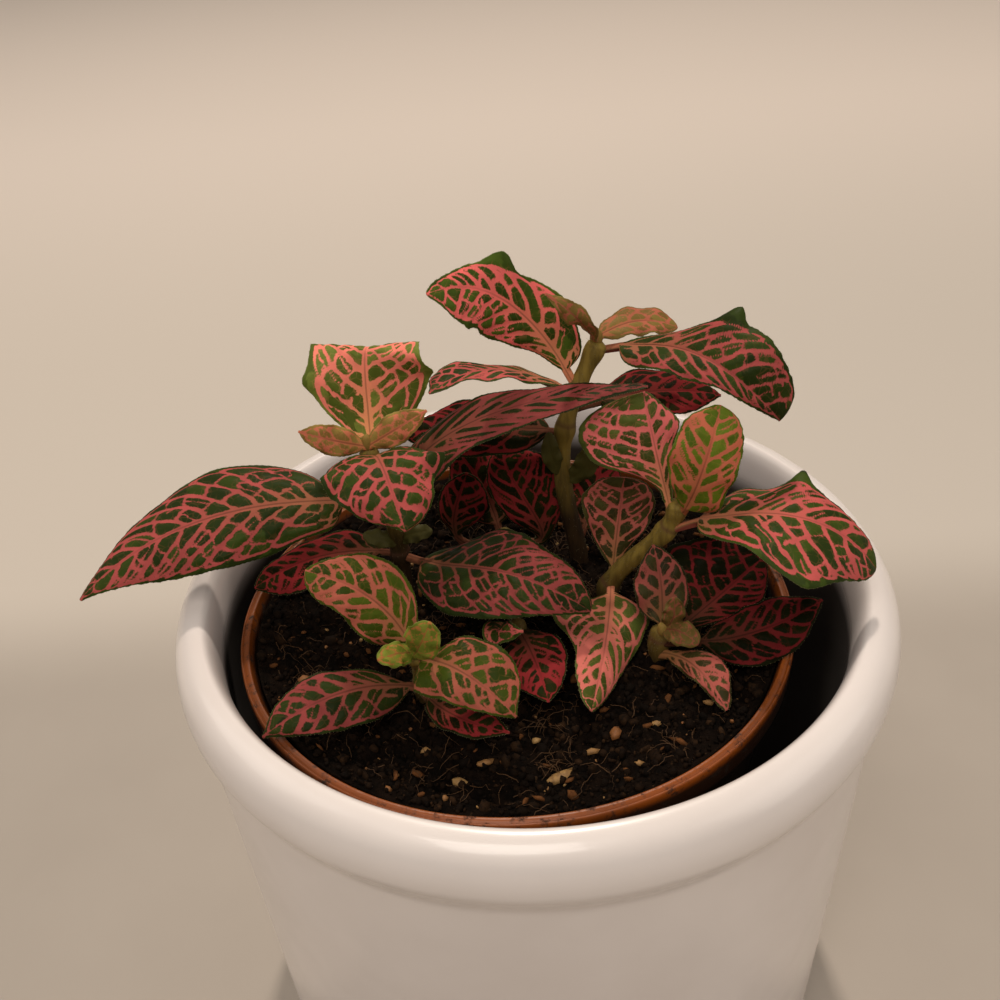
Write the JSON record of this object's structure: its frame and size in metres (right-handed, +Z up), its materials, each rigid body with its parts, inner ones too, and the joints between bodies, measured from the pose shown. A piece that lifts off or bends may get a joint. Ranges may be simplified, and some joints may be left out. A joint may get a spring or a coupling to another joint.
{
  "type": "potted nerve plant",
  "caption": "Small nerve plant with pink-veined dark green leaves, growing in a plastic pot of potting mix that stands in a round white glazed cover pot.",
  "frame": {"origin": "centre of the cover pot's flat underside, where the pot rests on a table", "axes": "+Z up along the pot's axis; -Y towards the side that the picture shows in front; +X to the right in that view"},
  "size_m": [0.1724, 0.156, 0.1916],
  "materials": {
    "white_glaze": "gloss",
    "nursery_plastic": "satin",
    "potting_mix": "matte",
    "stem_olive": "satin",
    "veined_leaf": "satin",
    "young_leaf": "satin"
  },
  "bodies": {
    "root": {"cover_pot": "white_glaze", "nursery_pot": "nursery_plastic", "potting_mix": "potting_mix", "stem_left": "stem_olive", "stem_back": "stem_olive", "stem_right": "stem_olive", "stem_front": "stem_olive", "stem_low": "stem_olive", "stem_centre": "stem_olive", "stem_middle": "stem_olive", "tip_left": "young_leaf", "tip_back": "young_leaf", "tip_front": "young_leaf", "tip_low": "young_leaf", "leaf_left_upright": "veined_leaf", "leaf_left_heart": "veined_leaf", "leaf_left_long": "veined_leaf", "leaf_left_under": "veined_leaf", "leaf_left_arching": "veined_leaf", "leaf_left_wide": "veined_leaf", "leaf_back_upper": "veined_leaf", "leaf_back_right": "veined_leaf", "leaf_back_shaded": "veined_leaf", "leaf_back_narrow": "veined_leaf", "leaf_back_dim": "veined_leaf", "leaf_back_deep": "veined_leaf", "leaf_right_deep": "veined_leaf", "leaf_right_broad": "veined_leaf", "leaf_right_round": "veined_leaf", "leaf_right_long": "veined_leaf", "leaf_right_inner": "veined_leaf", "leaf_right_pink": "veined_leaf", "leaf_low_dark": "veined_leaf", "leaf_low_pale": "veined_leaf", "leaf_low_right": "veined_leaf", "leaf_low_small": "veined_leaf", "leaf_front_left": "veined_leaf", "leaf_front_right": "veined_leaf", "leaf_front_low": "veined_leaf", "leaf_front_under": "veined_leaf", "leaf_centre_left": "veined_leaf", "leaf_centre_right": "veined_leaf", "leaf_middle_red": "veined_leaf", "leaf_middle_small": "veined_leaf"}
  },
  "joints": []
}
